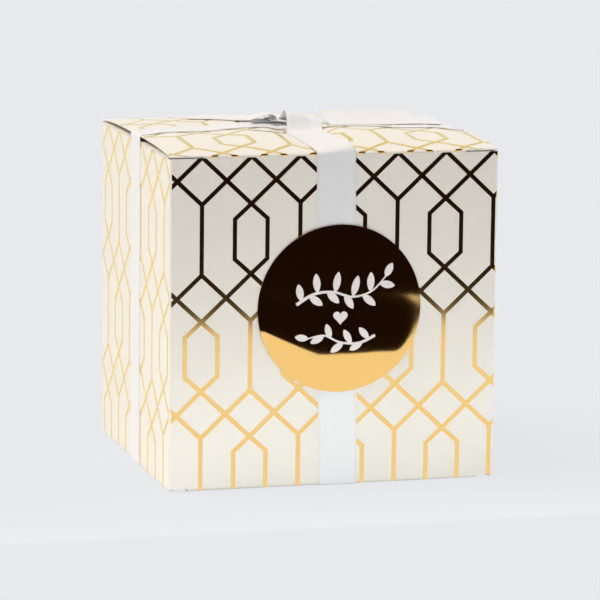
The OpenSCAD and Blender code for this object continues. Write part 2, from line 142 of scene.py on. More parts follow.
class FavorBoxFoilSettings(bpy.types.PropertyGroup):
    line: length_setting("Line width", "Width of the stamped trellis lines", 1.3, 0.5, 3.0)
    color: color_setting("Foil", "Colour of the stamped foil", "#F9CF80")


class FavorBoxRibbonSettings(bpy.types.PropertyGroup):
    width: length_setting("Width", "Width of the ribbon", 12, 8, 16)
    thickness: length_setting("Thickness", "Thickness of the ribbon", 0.18, 0.1, 0.5)
    color: color_setting("Ribbon", "Colour of the satin", "#F8FAFF")


class FavorBoxSealSettings(bpy.types.PropertyGroup):
    diameter: length_setting("Diameter", "Diameter of the round seal", 50.8, 30, 64)
    color: color_setting("Seal", "Colour of the seal's foil", "#FACD7D")
    ink: color_setting("Ornament", "Colour of the printed sprigs", "#F7F2F2")


class FavorBoxStageSettings(bpy.types.PropertyGroup):
    background: color_setting(
        "Background", "Colour of the floor and of the space behind the box", "#E7E9ED")
    ambient: level_setting("Ambient", "Level of the light from all round", 0.28, 2)
    key: level_setting("Key", "Strength of the lamp on the left", 2.6, 10)
    fill: level_setting("Fill", "Strength of the lamp on the right", 1.0, 10)
    bounce: level_setting("Bounce", "Watts of the low lamp in front", 0.052, 1)


# Materials


def feed(tree, node, inputs):
    """Sets a node's sockets to plain values, or links them to other nodes' outputs."""
    for socket, value in inputs.items():
        if isinstance(value, bpy.types.NodeSocket):
            tree.links.new(value, node.inputs[socket])
        else:
            node.inputs[socket].default_value = value


def add_node(tree, kind, inputs=None, **settings):
    node = tree.nodes.new(kind)
    for name, value in settings.items():
        setattr(node, name, value)
    feed(tree, node, inputs or {})
    return node


def made_material(name, build, *values):
    """The material of that name, which is built when it is first asked for."""
    material = bpy.data.materials.get(name)
    if material is None:
        material = bpy.data.materials.new(name)
        material.use_nodes = True
        tree = material.node_tree
        build(tree, tree.nodes["Principled BSDF"], *values)
    return material


def coat(tree, shader, tones, relief, depth, strength=1.0, **values):
    """Gives the shader a colour that falls to a share of itself with one noise, and a relief as
    deep as depth, in millimetres, that follows another."""
    noise, color, share = tones
    tone = add_node(tree, "ShaderNodeMix", {
        "Factor": noise.outputs["Fac"], "A": rgba(color), "B": rgba(color, share)},
        data_type="RGBA")
    bump = add_node(tree, "ShaderNodeBump", {
        "Height": relief.outputs["Fac"], "Strength": strength, "Distance": depth * MM})
    feed(tree, shader, {
        "Base Color": tone.outputs["Result"], "Normal": bump.outputs["Normal"]})
    feed(tree, shader, {name.replace("_", " "): value for name, value in values.items()})


def show_instead(tree, shader, surface):
    """Puts another surface in the place of the principled shader."""
    tree.nodes.remove(shader)
    feed(tree, tree.nodes["Material Output"], {"Surface": surface})


# Fineness of the noise, in cells to a metre: clouds of pulp 6 mm across, fibres of board 0.5 mm
# across, specks in the foil 0.3 mm across and the uneven cover of the ink, 1.1 mm across
PULP, FIBRE, SPECK, COVER = 0.16 / MM, 2 / MM, 3.3 / MM, 0.9 / MM


def board(tree, shader, color, roughness, clouds, grain):
    """Bleached board: faint clouds of the pulp under its fibres. The real fibres are a tenth as
    wide as these and wouldn't show."""
    place = add_node(tree, "ShaderNodeTexCoord").outputs["Object"]
    cloud = add_node(tree, "ShaderNodeTexNoise", {"Vector": place, "Scale": PULP, "Detail": 3})
    fibre = add_node(tree, "ShaderNodeTexNoise", {"Vector": place, "Scale": FIBRE, "Detail": 2})
    rough = add_node(tree, "ShaderNodeMapRange", {
        "Value": fibre.outputs["Fac"], "To Min": roughness - 0.06, "To Max": roughness + 0.06})
    coat(tree, shader, (cloud, color, 1 - clouds), fibre, 0.04, grain,
         Roughness=rough.outputs["Result"], IOR=1.5)


def coated_board():
    """Clay-coated side of bleached board: even, slightly shiny, with hardly any grain."""
    color = bpy.context.scene.favor_box_card.print_color
    return made_material("clay_coated_board", board, color, 0.42, 0.025, 0.15)


def raw_board():
    """Uncoated back of the same board: matt, a little creamier, with a fine felt-like grain."""
    color = bpy.context.scene.favor_box_card.raw_color
    return made_material("uncoated_board", board, color, 0.72, 0.05, 0.45)


def foil(tree, shader, color, roughness, ripple, spread):
    """Metallised foil: a mirror tinted gold. Its ripple breaks reflections; it is as high and as
    far across as ripple and spread say, in millimetres."""
    place = add_node(tree, "ShaderNodeTexCoord").outputs["Object"]
    waves = add_node(tree, "ShaderNodeTexNoise", {
        "Vector": place, "Scale": 1 / (spread * MM), "Detail": 2, "Roughness": 0.4})
    speck = add_node(tree, "ShaderNodeTexNoise", {"Vector": place, "Scale": SPECK, "Detail": 1})
    rough = add_node(tree, "ShaderNodeMapRange", {
        "Value": speck.outputs["Fac"], "To Min": roughness * 0.7, "To Max": roughness * 1.3})
    coat(tree, shader, (speck, color, 0.93), waves, ripple, Roughness=rough.outputs["Result"],
         Metallic=1.0, Specular_Tint=(0.92, 1.0, 0.78, 1.0))


def stamped_foil():
    """Hot-stamped foil: bright, and slightly dulled by the board under it."""
    color = bpy.context.scene.favor_box_foil.color
    return made_material("hot_stamped_gold_foil", foil, color, 0.09, 0.0008, 1.2)


def label_foil():
    """Metallised polyester of a label: almost a mirror, and slightly wavy over the ribbon."""
    color = bpy.context.scene.favor_box_seal.color
    return made_material("mirror_gold_label_film", foil, color, 0.05, 0.007, 6)


def screen_ink(tree, shader, ink):
    """Opaque white screen ink, about 20 micrometres thick: soft shine and a soft edge."""
    place = add_node(tree, "ShaderNodeTexCoord").outputs["Object"]
    cover = add_node(tree, "ShaderNodeTexNoise", {"Vector": place, "Scale": COVER, "Detail": 2})
    coat(tree, shader, (cover, ink, 0.95), cover, 0.03, 0.2, Roughness=0.35)


def label_ink():
    return made_material("white_screen_ink", screen_ink, bpy.context.scene.favor_box_seal.ink)


def satin_weave(tree, shader, color, half):
    """Single-face polyester satin. The weft ribs lie across the ribbon: the real ones are 0.15 mm
    apart and wouldn't show, so they are drawn further apart. Each edge has a firmer selvedge about
    0.6 mm wide, and a little light goes into its folds. The coordinates are the ribbon's own, in
    millimetres, and half is half its width."""
    rib_pitch, wave_pitch = 0.45, 0.314
    along = add_node(tree, "ShaderNodeUVMap", uv_map="along").outputs["UV"]
    ribs = add_node(tree, "ShaderNodeTexWave", {
        "Vector": along, "Scale": wave_pitch / rib_pitch, "Distortion": 0.6, "Detail": 1},
        wave_type="BANDS", bands_direction="Y")
    slub = add_node(tree, "ShaderNodeTexNoise", {"Vector": along, "Scale": 0.35, "Detail": 3})
    across = add_node(tree, "ShaderNodeSeparateXYZ", {"Vector": along}).outputs["X"]
    inside = add_node(tree, "ShaderNodeMath", {0: across, 1: half}, operation="SUBTRACT")
    reach = add_node(tree, "ShaderNodeMath", {0: inside.outputs["Value"]}, operation="ABSOLUTE")
    edge = add_node(tree, "ShaderNodeMapRange", {
        "Value": reach.outputs["Value"], "From Min": half - 0.8, "From Max": half - 0.5})
    tone = add_node(tree, "ShaderNodeMix", {
        "Factor": slub.outputs["Fac"], "A": rgba(color), "B": rgba(color, 0.97)},
        data_type="RGBA")
    rimmed = add_node(tree, "ShaderNodeMix", {
        "Factor": edge.outputs["Result"], "A": tone.outputs["Result"], "B": rgba(color, 0.93)},
        data_type="RGBA")
    height = add_node(tree, "ShaderNodeMath", {
        0: ribs.outputs["Fac"], 1: edge.outputs["Result"]}, operation="ADD")
    relief = add_node(tree, "ShaderNodeBump", {
        "Height": height.outputs["Value"], "Strength": 0.35, "Distance": 0.03 * MM})
    feed(tree, shader, {
        "Base Color": rimmed.outputs["Result"], "Normal": relief.outputs["Normal"],
        "Roughness": 0.38, "Subsurface Weight": 0.08, "Subsurface Radius": (1.0, 0.9, 0.95),
        "Subsurface Scale": 1.5 * MM, "Sheen Weight": 0.05, "Sheen Roughness": 0.4})


def satin():
    color = bpy.context.scene.favor_box_ribbon.color
    return made_material("single_face_satin_ribbon", satin_weave, color, ribbon_halves()[0])


def seamless_paper(tree, shader, pale):
    """Seamless paper: matt, its own colour to the camera, with a soft shadow left on it."""
    paper = add_node(tree, "ShaderNodeBsdfDiffuse", {"Color": rgba(pale)})
    glow = add_node(tree, "ShaderNodeEmission", {"Color": rgba(pale), "Strength": 1.0})
    ray = add_node(tree, "ShaderNodeLightPath")
    seen = add_node(tree, "ShaderNodeMath", {
        0: ray.outputs["Is Camera Ray"], 1: 0.92}, operation="MULTIPLY")
    for kind in ("Is Glossy Ray", "Is Transmission Ray"):
        seen = add_node(tree, "ShaderNodeMath", {
            0: seen.outputs["Value"], 1: ray.outputs[kind]}, operation="MAXIMUM")
    mix = add_node(tree, "ShaderNodeMixShader", {
        0: seen.outputs["Value"], 1: paper.outputs["BSDF"], 2: glow.outputs["Emission"]})
    show_instead(tree, shader, mix.outputs["Shader"])


def white_paper(tree, shader):
    """White board in full light, which the foil mirrors as a white that shows no shade."""
    glow = add_node(tree, "ShaderNodeEmission", {"Color": (1, 1, 1, 1), "Strength": 1.0})
    show_instead(tree, shader, glow.outputs["Emission"])


def black_felt(tree, shader):
    """Brown-black felt: matt, and the darkest thing that the foil mirrors."""
    felt = add_node(tree, "ShaderNodeBsdfDiffuse", {"Color": rgba(linear("#170D07"))})
    show_instead(tree, shader, felt.outputs["BSDF"])


# Shared ways of making a piece


def add_object(name, data):
    made = bpy.data.objects.new(name, data)
    bpy.context.scene.collection.objects.link(made)
    return made


def add_mesh(bm, name, material):
    mesh = bpy.data.meshes.new(name)
    bm.to_mesh(mesh)
    bm.free()
    mesh.materials.append(material)
    return add_object(name, mesh)


def finish_piece(bm, name, body, material, nodes=(), thickness=0.0, offset=0.0,
                 smooth=True):
    """Brings a mesh worked out in millimetres to metres, gives it its thickness and crisp rims,
    and puts it on its body."""
    bmesh.ops.scale(bm, vec=(MM, MM, MM), verts=bm.verts)
    piece = add_mesh(bm, name, material)
    mesh = piece.data
    if thickness:
        wall = piece.modifiers.new("thickness", "SOLIDIFY")
        wall.thickness = thickness * MM
        wall.offset = offset
        made = piece.evaluated_get(bpy.context.evaluated_depsgraph_get())
        piece.data = bpy.data.meshes.new_from_object(made)
        piece.modifiers.clear()
        bpy.data.meshes.remove(mesh)
        piece.data.name = name
    for polygon in piece.data.polygons:
        polygon.use_smooth = smooth
    if smooth:
        piece.data.set_sharp_from_angle(angle=SHARP)
    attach(piece, body)
    if nodes:
        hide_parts(*nodes)
    return piece


def ribbon_halves():
    """Half of the ribbon's width and half of its thickness, in millimetres."""
    ribbon = bpy.context.scene.favor_box_ribbon
    return ribbon.width / MM / 2, ribbon.thickness / MM / 2


def flat_grid(across, along, size, middle):
    """Flat sheet of so many squares each way, of that size and about that point."""
    bm = bmesh.new()
    bmesh.ops.create_grid(bm, x_segments=across, y_segments=along, size=0.5)
    bmesh.ops.scale(bm, vec=(*size, 1), verts=bm.verts)
    bmesh.ops.translate(bm, vec=middle, verts=bm.verts)
    return bm


def cut(bm, way, at, **clear):
    """Divides a flat sheet along the line where its x or its y has that value."""
    axis = Vector((way == "x", way == "y", 0))
    bmesh.ops.bisect_plane(
        bm, geom=bm.verts[:] + bm.edges[:] + bm.faces[:], dist=SAME / 10,
        plane_co=axis * at, plane_no=axis, **clear)


def drop_faces(bm, unwanted):
    faces = [f for f in bm.faces if unwanted(f.calc_center_median())]
    bmesh.ops.delete(bm, geom=faces, context="FACES")


def clamp(value, low=0.0, high=1.0):
    return max(low, min(high, value))


def soft(value, low, high):
    """0 up to low, 1 from high on, and a soft step between them."""
    share = clamp((value - low) / (high - low))
    return share * share * (3 - 2 * share)


def lid_rise(x, y, bed=True):
    """Height of the lid above its creases: a low dome whose raw side edges spring up at the cross
    band. The ribbon that runs to the back lies in a shallow bed, and behind the band the right
    half is drawn down further."""
    card = bpy.context.scene.favor_box_card
    crown, edge = card.pillow / MM, card.edge_rise / MM
    shoulder = SHOULDER_SHARE * crown
    out = abs(x)
    rise = crown - (crown - shoulder) * soft(out, 18, 32)
    rise -= (shoulder - edge) * soft(out, 40, LID_HALF)
    if x > 0:
        rise *= 1 - DRAWN_SHARE * soft(x, 0, 14) * soft(y, -8, 4)
    else:
        left = soft(out, 12, 30) * (1 - soft(out, 38, 48))
        rise -= HOLLOW * left * math.exp(-((y - BAND_Y) / 6.5) ** 2)
    if bed:
        ribbon_x = BAND_X - 1.8 * (1 - soft(y, -8, 10))
        rise -= BED * (1 - soft(abs(x - ribbon_x), 6, 11))
    share = clamp((y - CREASE_Y - FOLD_R) / FOLD_RUN)
    return max(rise, 0.0) * (1 - abs(2 * share - 1) ** DOME_POWER)


def lid_place(x, run, lift=0.0, corner=False):
    """Point of the lid, run millimetres forward of its rear crease: over the tuck crease it goes
    round the fold, and in the corners beyond the slits it stays flat."""
    if run <= FOLD_RUN or corner:
        y = HALF_D - run
        return Vector((x, y, TOP + lid_rise(x, y) + lift))
    angle = (run - FOLD_RUN) / FOLD_R
    radius = FOLD_R + lift
    return Vector((
        x, CREASE_Y + FOLD_R - radius * math.sin(angle), TOP - FOLD_R + radius * math.cos(angle)))


def shape_lid(bm, lift):
    """Bends a flat sheet in x and run over the lid, after parting its corners from the fold."""
    for x in (-CREASE_HALF, CREASE_HALF):
        cut(bm, "x", x)
    for step in range(TURN_STEPS):
        cut(bm, "y", FOLD_RUN + FOLD_ARC * step / TURN_STEPS)
    cut(bm, "y", CORNER_RUN)
    drop_faces(bm, lambda c: abs(c.x) > CREASE_HALF and c.y > CORNER_RUN)
    slits = [e for e in bm.edges if all(
        abs(abs(v.co.x) - CREASE_HALF) < SAME and v.co.y > FOLD_RUN - SAME for v in e.verts)]
    bmesh.ops.split_edges(bm, edges=slits)
    placed = {}
    for vert in bm.verts:
        middle = vert.link_faces[0].calc_center_median()
        placed[vert] = lid_place(vert.co.x, vert.co.y, lift, abs(middle.x) > CREASE_HALF)
    for vert, point in placed.items():
        vert.co = point
    bmesh.ops.reverse_faces(bm, faces=bm.faces)


def wall_place(run, down, lift):
    """Point on the carton's outside: run goes round it from the front wall's raw left edge, and
    down goes from the lid's level round the lower folds."""
    sizes = (WIDTH, DEPTH)
    starts = ((-HALF_W, -HALF_D), (HALF_W, -HALF_D), (HALF_W, HALF_D), (-HALF_W, HALF_D))
    ways = ((1, 0), (0, 1), (-1, 0), (0, -1))
    side, place = 0, run
    while side < 3 and place > sizes[side % 2]:
        place -= sizes[side % 2]
        side += 1
    length = sizes[side % 2]
    way = Vector((*ways[side], 0))
    out = Vector((way.y, -way.x, 0))
    start = Vector((*starts[side], 0))
    z, reach = TOP - down, lift
    if z < FOOT:
        angle = (FOOT - z) / FOLD_R
        z = FOOT - (FOLD_R + lift) * math.sin(angle)
        reach = (FOLD_R + lift) * math.cos(angle) - FOLD_R
    turn = 0.0
    if place > length - FOLD_R and side < 3:
        turn = (place - length + FOLD_R) / FOLD_R
        centre = start + way * (length - FOLD_R) - out * FOLD_R
    elif place < FOLD_R and side > 0:
        turn = -(FOLD_R - place) / FOLD_R
        centre = start + way * FOLD_R - out * FOLD_R
    if turn:
        turn *= math.pi / 4
        ray = out * math.cos(turn) + way * math.sin(turn)
        point = centre + ray * (FOLD_R + reach)
    else:
        point = start + way * place + out * reach
    return Vector((point.x, point.y, z))


def trellis(bm, column_at, columns, first, rows, stretch=1.0):
    """Flat sheet of the print's lines: all its cells are drawn edge to edge, then each is inset by
    half a line's width and only the rims stay. Every second column has a single line and the
    others a long hexagon."""
    diamond, row, leg = DIAMOND * stretch, ROW * stretch, LEG * stretch

    def face(points):
        bm.faces.new([bm.verts.new((u, v, 0)) for u, v in points])

    for r in rows:
        top = first + r * row
        node, low, end = top + diamond / 2, top + diamond, top + row
        for c in columns:
            u, following = column_at(c), column_at(c + 1)
            before = column_at(c - 1)
            right, left = (u + following) / 2, (u + before) / 2
            face([(u, top), (right, node), (u, low), (left, node)])
            if (c + r) % 2:
                face([(u, low), (u + HEXAGON_HALF, low + leg), (u + HEXAGON_HALF, end - leg),
                      (u, end), (u - HEXAGON_HALF, end - leg), (u - HEXAGON_HALF, low + leg)])
                near = [(u + HEXAGON_HALF, end - leg), (u + HEXAGON_HALF, low + leg)]
                far = []
            else:
                near = []
                far = [(following - HEXAGON_HALF, low + leg),
                       (following - HEXAGON_HALF, end - leg)]
            face([(right, node), (following, low), *far, (following, end),
                  (right, node + row), (u, end), *near, (u, low)])
    bmesh.ops.remove_doubles(bm, verts=bm.verts, dist=SAME)
    cells = bm.faces[:]
    line = bpy.context.scene.favor_box_foil.line / MM
    bmesh.ops.inset_individual(bm, faces=cells, thickness=line / 2, use_even_offset=True)
    bmesh.ops.delete(bm, geom=cells, context="FACES")


def ribbon_mesh(left, right, across=8, pleat=None, clear=0.0):
    """Strip of ribbon laid between its left and right edges, one row of faces to a pair of
    points. With clear, it stays that far above the lid between its edges too. Its own coordinates
    are kept in millimetres, across and along."""
    bm = bmesh.new()
    last = len(left) - 1
    width = bpy.context.scene.favor_box_ribbon.width / MM
    bmesh.ops.create_grid(bm, x_segments=across, y_segments=last, size=0.5)
    own = bm.loops.layers.uv.new("along")
    middle = [(a + b) / 2 for a, b in zip(left, right)]
    run = [0.0]
    for a, b in zip(middle, middle[1:]):
        run.append(run[-1] + (b - a).length)
    for face in bm.faces:
        for loop in face.loops:
            spot = loop.vert.co
            loop[own].uv = ((spot.x + 0.5) * width, run[round((spot.y + 0.5) * last)])
    for vert in bm.verts:
        share, i = vert.co.x + 0.5, round((vert.co.y + 0.5) * last)
        point = left[i].lerp(right[i], share)
        if pleat:
            way = middle[min(i + 1, last)] - middle[max(i - 1, 0)]
            up = (right[i] - left[i]).cross(way).normalized()
            point += up * pleat(i / last, share)
        # at the lid's edges it turns down, and there it isn't lifted
        over_lid = abs(point.x) < LID_HALF - 1 and point.y > FOLD_R + 0.5 - HALF_D
        if clear and over_lid:
            point.z = max(point.z, TOP + lid_rise(point.x, point.y) + clear)
        vert.co = point
    return bm, run[-1]


def smoothed(points, steps=5):
    """Soft curve through the points, with steps rows between two of them."""
    curve = []
    for i in range(len(points) - 1):
        a, b = Vector(points[max(i - 1, 0)]), Vector(points[i])
        c, d = Vector(points[i + 1]), Vector(points[min(i + 2, len(points) - 1)])
        for k in range(steps):
            t = k / steps
            curve.append(0.5 * (2 * b + (c - a) * t + (2 * a - 5 * b + 4 * c - d) * t * t
                                + (3 * b - a - 3 * c + d) * t ** 3))
    return curve + [Vector(points[-1])]


def ribbon_piece(name, body, left, right, nodes, across=8, pleat=None, clear=0.0):
    """Solid length of ribbon between two edges, as thick as the ribbon."""
    ribbon = bpy.context.scene.favor_box_ribbon
    bm, length = ribbon_mesh(left, right, across, pleat, clear)
    piece = finish_piece(bm, name, body, satin(), nodes,
                         thickness=ribbon.thickness / MM)


# The pieces, one operator each


class FAVORBOX_OT_card(bpy.types.Operator):
    """Gives the walls the coated board, and the flaps the uncoated one"""

    bl_idname = "favorbox.card"
    bl_label = "Card Finish"

    def execute(self, context):
        coated = ("front_wall", "back_wall", "left_wall", "right_wall")
        raw = ("glue_flap", "base_flap_back", "base_flap_left", "base_flap_right",
               "base_flap_front", "tuck_flap", "dust_flap_left", "dust_flap_right")
        for names, material in ((coated, coated_board()), (raw, raw_board())):
            for name in names:
                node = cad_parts[name]
                if node.material_slots:
                    for slot in node.material_slots:
                        slot.material = material
                else:
                    node.data.materials.append(material)
        return {"FINISHED"}


class FAVORBOX_OT_lid(bpy.types.Operator):
    """Lid of card that swells between the ribbon bands and folds down in front"""

    bl_idname = "favorbox.lid"
    bl_label = "Lid"

    def execute(self, context):
        bm = flat_grid(LID_ACROSS, LID_ALONG, (2 * LID_HALF, LID_RUN), (0, LID_RUN / 2, 0))
        shape_lid(bm, 0.0)
        finish_piece(bm, "crowned_lid", "lid", coated_board(),
                     ["lid_panel"], thickness=CARD, offset=-1)
        return {"FINISHED"}


class FAVORBOX_OT_foil_walls(bpy.types.Operator):
    """Stamped trellis round the four walls"""

    bl_idname = "favorbox.foil_walls"
    bl_label = "Foil on the Walls"

    def execute(self, context):
        bm = bmesh.new()
        first, wide_from, wide_to, wide_column, after_wide = 9.6, 6, 19, 15.67, 303.9

        def column_at(c):
            """Place of a column round the box: on the right and the back the pitch is a little
            wider, so that the sheet closes at the seam."""
            if c <= wide_from:
                return first + COLUMN * c
            if c >= wide_to:
                return after_wide + COLUMN * (c - wide_to)
            return first + COLUMN * wide_from + wide_column * (c - wide_from)

        trellis(bm, column_at, range(-1, 26), 0.45, range(-1, 3))
        corners = (WIDTH, WIDTH + DEPTH, 2 * WIDTH + DEPTH)
        end = 2 * WIDTH + 2 * DEPTH
        side_down, foot_down = TOP - SIDE_TOP, TOP - FOOT
        hem, hem_step, seam, seam_end, lift = 0.8, 0.27, 0.4, 1.1, 0.01
        cut(bm, "x", seam, clear_inner=True)
        cut(bm, "x", end - seam_end, clear_outer=True)
        cut(bm, "y", FOLD_R, clear_inner=True)
        cut(bm, "y", foot_down + hem, clear_outer=True)
        cut(bm, "y", side_down)
        for step in range(3):
            cut(bm, "y", foot_down + hem_step * step)
        for corner in corners:
            for step in range(-3, 4):
                cut(bm, "x", corner + FOLD_R * step / 3)
        # the base flaps' creases end short of the corners, and there the foil ends with the wall
        free = 5.6
        for corner in (0, *corners):
            cut(bm, "x", corner + free)
            cut(bm, "x", (corner or end) - free)

        def off_card(c):
            near = min(abs(c.x - k) for k in (0, *corners, end))
            on_side = corners[0] < c.x < corners[1] or c.x > corners[2]
            return (near < free and c.y > foot_down) or (on_side and c.y < side_down)

        drop_faces(bm, off_card)
        for vert in bm.verts:
            vert.co = wall_place(vert.co.x, vert.co.y, lift)
        bmesh.ops.reverse_faces(bm, faces=bm.faces)
        finish_piece(bm, "foil_print_walls", "carton", stamped_foil(),
                     thickness=FOIL, offset=1, smooth=False)
        return {"FINISHED"}


class FAVORBOX_OT_foil_lid(bpy.types.Operator):
    """Stamped trellis on the lid, a little shorter from row to row than on the walls"""

    bl_idname = "favorbox.foil_lid"
    bl_label = "Foil on the Lid"

    def execute(self, context):
        bm = bmesh.new()
        stretch, inset, lift = 0.9, 0.1, 0.02
        first = 3.3 - DIAMOND * stretch / 2
        trellis(bm, lambda c: 9.05 + COLUMN * c, range(-2, 8), first, range(-1, 4), stretch)
        # from columns and depth behind the front edge to x and run in front of the rear crease
        for vert in bm.verts:
            vert.co = Vector((vert.co.x - HALF_W, DEPTH - vert.co.y, 0))
        cut(bm, "x", inset - LID_HALF, clear_inner=True)
        cut(bm, "x", LID_HALF - inset, clear_outer=True)
        cut(bm, "y", inset, clear_inner=True)
        cut(bm, "y", LID_RUN, clear_outer=True)
        for step in range(1, LID_ALONG):
            cut(bm, "y", LID_RUN * step / LID_ALONG)
        for step in range(1, LID_ACROSS):
            cut(bm, "x", LID_HALF * (2 * step / LID_ACROSS - 1))
        shape_lid(bm, lift)
        if sum(face.normal.z for face in bm.faces) < 0:
            bmesh.ops.reverse_faces(bm, faces=bm.faces)
        finish_piece(bm, "foil_print_lid", "lid", stamped_foil(),
                     thickness=FOIL, offset=1)
        return {"FINISHED"}


def quarter(centre, radius, start, steps=TURN_STEPS):
    """Points of a quarter circle in the plane of distance and height, from start degrees on."""
    return [(centre[0] + radius * math.cos(math.radians(start + 90 * k / steps)),
             centre[1] + radius * math.sin(math.radians(start + 90 * k / steps)))
            for k in range(steps + 1)]


def band_lean(x):
    """How far the cross band has moved towards the back at x: to the right it leans forward."""
    return -6.2 * clamp(x / HALF_W) ** 1.05


class FAVORBOX_OT_wall_bands(bpy.types.Operator):
    """Two lengths of ribbon that run down one wall, under the box and up the opposite one"""

    bl_idname = "favorbox.wall_bands"
    bl_label = "Ribbon on the Walls"

    def execute(self, context):
        half, mid = ribbon_halves()
        wall_steps, base_steps = 36, 40

        def path(edge, tops, hump=0.0):
            """Distance and height of the ribbon's middle from the top of one wall under the box to
            that of the other. With a hump, it rises over the band that it crosses there."""
            inner, fold = edge - FOLD_R, FOLD_R + mid
            way = [(-edge - mid, tops[0] + (FOOT - tops[0]) * k / wall_steps)
                   for k in range(wall_steps)]
            way += quarter((-inner, FOOT), fold, 180)
            for k in range(1, base_steps):
                d = -inner + 2 * inner * k / base_steps
                way.append((d, mid + hump * (1 - clamp((abs(d - BAND_Y) - half) / 3))))
            way += quarter((inner, FOOT), fold, 270)
            return way + [(edge + mid, FOOT + (tops[1] - FOOT) * k / wall_steps)
                          for k in range(1, wall_steps + 1)]

        # front and back: the band leans a little, from the left above to the right below
        lean, slope = 0.75, 0.0163
        left, right = [], []
        for d, z in path(HALF_D, (PART_Z, TOP - 0.5), 2 * mid + 0.05):
            middle = BAND_X + (lean - slope * (z - 10) if d < 0 else lean * clamp(1 - z / 60))
            left.append(Vector((middle - half, d, z)))
            right.append(Vector((middle + half, d, z)))
        ribbon_piece("ribbon_band_lengthwise", "carton", left, right,
                     ["ribbon_front", "ribbon_back", "ribbon_under_front_to_back"])
        left, right = [], []
        for d, z in path(HALF_W, (PART_Z, PART_Z)):
            lean = band_lean(d) * clamp((z - FOOT) / (PART_Z - FOOT))
            left.append(Vector((d, BAND_Y + half + lean, z)))
            right.append(Vector((d, BAND_Y - half + lean, z)))
        ribbon_piece("ribbon_band_crosswise", "carton", left, right,
                     ["ribbon_left", "ribbon_right", "ribbon_under_across"])
        return {"FINISHED"}


class FAVORBOX_OT_knot(bpy.types.Operator):
    """Band from front to back, drawn over the crossing as the knot's high arch"""

    bl_idname = "favorbox.knot"
    bl_label = "Knot"

    def execute(self, context):
        half, mid = ribbon_halves()
        start_x, apart, narrowing, standing = BAND_X - 0.55, 0.03, 0.1, 0.22
        left, right = [], []
        # from the parting up to the crease it comes off the wall by a hair
        for k in range(3):
            z = PART_Z + (TOP - FOLD_R - PART_Z) * k / 3
            off = mid + apart * k
            left.append(Vector((start_x - half, -HALF_D - off, z)))
            right.append(Vector((start_x + half, -HALF_D - off, z)))
        # the left edge lies on the lid, and the right one stands off it from the crease on
        outer = FOLD_R + mid + 0.08
        bend = reversed(quarter((-HALF_D + FOLD_R, TOP - FOLD_R), outer, 90))
        for k, (y, z) in enumerate(bend):
            left.append(Vector((start_x - half, y, z)))
            right.append(Vector((start_x + half - narrowing * k, y, z + standing * k)))
        # y, then x and height above the lid of the left edge, then the same of the right edge
        rows = (
            (-42, -6.1, 0.75, 5.4, 2.45), (-34, -6.5, 1.4, 5.3, 2.5), (-24, -6.9, 1.85, 5.1, 2.4),
            (-16, -7.0, 2.1, 5.0, 2.4), (-12.2, -6.3, 2.4, 5.2, 2.8), (-9.6, -5.5, 4.0, 5.6, 3.3),
            (-7.4, -5.0, 6.3, 6.1, 3.7), (-5.4, -4.7, 7.5, 6.4, 3.9), (-3.2, -4.5, 7.8, 6.4, 4.0),
            (-0.8, -4.4, 7.1, 6.3, 3.9), (1.6, -4.5, 5.5, 6.3, 3.7), (4.0, -4.9, 3.9, 6.4, 3.3),
            (6.6, -5.4, 2.8, 6.5, 2.7), (10, -5.6, 2.35, 6.6, 2.35), (18, -5.4, 2.3, 6.6, 2.3),
            (28, -5.4, 2.0, 6.6, 2.0), (38, -5.4, 1.35, 6.6, 1.35), (45.5, -5.4, 0.3, 6.6, 0.3))
        left += smoothed([left[-1]] + [(x, y, TOP + z) for y, x, z, _, _ in rows])[1:]
        right += smoothed([right[-1]] + [(x, y, TOP + z) for y, _, _, x, z in rows])[1:]

        def pleat(along, across):
            middle, spread, crest, fold = 0.46, 0.075, 0.85, 0.14
            gather = math.exp(-((along - middle) / spread) ** 2)
            return gather * (crest * math.sin(math.pi * across ** 0.7)
                             + fold * math.sin(across * 5 * math.pi))

        ribbon_piece("ribbon_over_lid_with_knot", "lid", left, right,
                     ["ribbon_lid_front", "ribbon_lid_back", "ribbon_knot"],
                     across=24, pleat=pleat, clear=ONE_LAYER)
        return {"FINISHED"}


